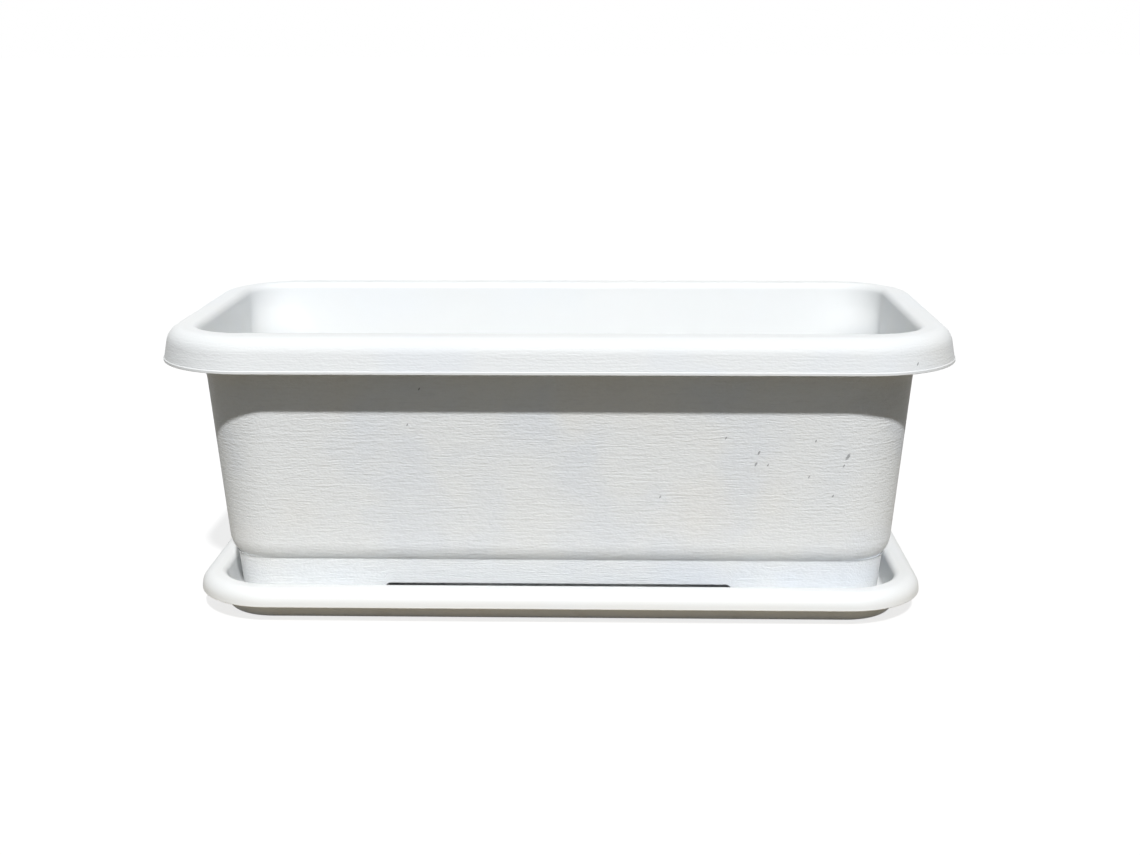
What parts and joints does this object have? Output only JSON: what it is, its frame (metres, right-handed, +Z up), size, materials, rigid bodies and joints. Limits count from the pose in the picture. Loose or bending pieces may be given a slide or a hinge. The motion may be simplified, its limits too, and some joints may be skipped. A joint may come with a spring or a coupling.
{
  "type": "herb planter",
  "caption": "Rectangular white plastic herb planter with a rolled rim, tapered body and plinth, standing in a matching drip tray.",
  "frame": {"origin": "middle of the tray's foot ring, on the surface that the planter stands on", "axes": "+Z up, +X along the trough to the right, the front looks towards -Y"},
  "size_m": [0.4, 0.2, 0.1505],
  "materials": {
    "tub_plastic": "white moulded plastic, matte, with a fine horizontal grain on the body, plinth and rim skirt and a smooth crown and inside",
    "tray_plastic": "white moulded plastic, smooth satin"
  },
  "bodies": {
    "tray": {"drip_tray": "tray_plastic"},
    "tub": {"planter_tub": "tub_plastic"}
  },
  "joints": [
    {"name": "tub_lift", "type": "slide", "parent": "tray", "child": "tub", "axis": [0, 0, 1], "range_m": [0, 0.1]}
  ]
}
